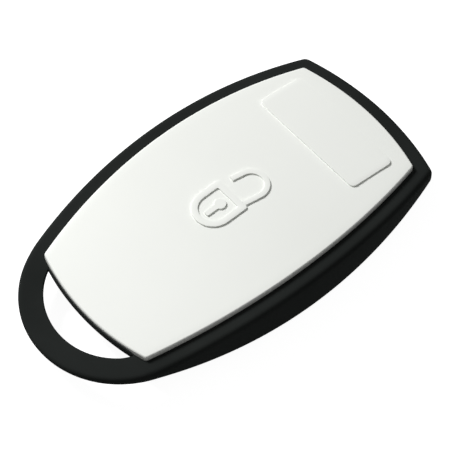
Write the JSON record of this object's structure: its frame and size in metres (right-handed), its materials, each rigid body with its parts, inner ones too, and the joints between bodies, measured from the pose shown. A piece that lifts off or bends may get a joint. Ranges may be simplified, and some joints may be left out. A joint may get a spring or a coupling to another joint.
{
  "type": "transponder key fob",
  "caption": "Slim barrel-shaped key fob: a satin white push plate in a black case that ends in a flat key-ring loop, with a turn-off battery door behind.",
  "frame": {"origin": "centre of the flat round face under the fob, on which it rests, on the axis of the battery door", "axes": "+Y along the fob towards its wide end, away from the key-ring loop; +Z out of the front plate; +X to the right when the plate is seen with the wide end up"},
  "size_m": [0.0424, 0.0771, 0.01],
  "materials": {
    "white_plastic": "satin moulded white plastic",
    "black_plastic": "fine matt moulded black plastic",
    "cover_plastic": "matt moulded black plastic",
    "black_rubber": "black nitrile rubber",
    "grey_silicone": "soft grey silicone",
    "screw_steel": "blackened steel",
    "cell_steel": "nickel-plated steel can",
    "spring_steel": "plated spring strip",
    "board_laminate": "green lacquered glass-fibre board",
    "chip_epoxy": "black moulded epoxy",
    "ferrite": "dark sintered ferrite",
    "copper": "lacquered copper wire",
    "ceramic": "fired ceramic with tinned ends",
    "can_metal": "plated metal can"
  },
  "bodies": {
    "housing": {"housing_frame": "black_plastic", "rear_cover": "cover_plastic", "cover_seal": "black_rubber", "door_seal_ring": "black_rubber", "cover_screws": "screw_steel", "coin_cell": "cell_steel", "circuit_board": "board_laminate", "negative_contact": "spring_steel", "positive_contact": "spring_steel", "switch_body": "chip_epoxy", "switch_cover": "can_metal", "switch_dome": "spring_steel", "switch_terminals": "can_metal", "coil_core": "ferrite", "coil_winding": "copper", "transponder_block": "chip_epoxy", "controller_chip": "chip_epoxy", "radio_chip": "chip_epoxy", "timing_crystal": "can_metal", "power_choke": "ferrite", "chip_capacitors": "ceramic", "chip_resistors": "chip_epoxy"},
    "plate": {"front_plate": "white_plastic", "pusher_pad": "grey_silicone"},
    "plunger": {"switch_plunger": "chip_epoxy"},
    "door": {"battery_door": "cover_plastic"}
  },
  "joints": [
    {"name": "plate_press", "type": "slide", "parent": "housing", "child": "plate", "axis": [0, 0, -1], "range_m": [0, 0.0003], "stiffness_N_per_m": 3000, "springref_m": -0.00025},
    {"name": "plunger_press", "type": "slide", "parent": "housing", "child": "plunger", "axis": [0, 0, -1], "range_m": [0, 0.0003], "deforming": ["switch_dome"]},
    {"name": "door_turn", "type": "hinge", "parent": "housing", "child": "door", "pos_m": [0, 0, 0], "axis": [0, 0, -1], "range_deg": [0, 45]}
  ],
  "couplings": [
    {"joint": "plunger_press", "follows": "plate_press", "ratio": 1}
  ]
}
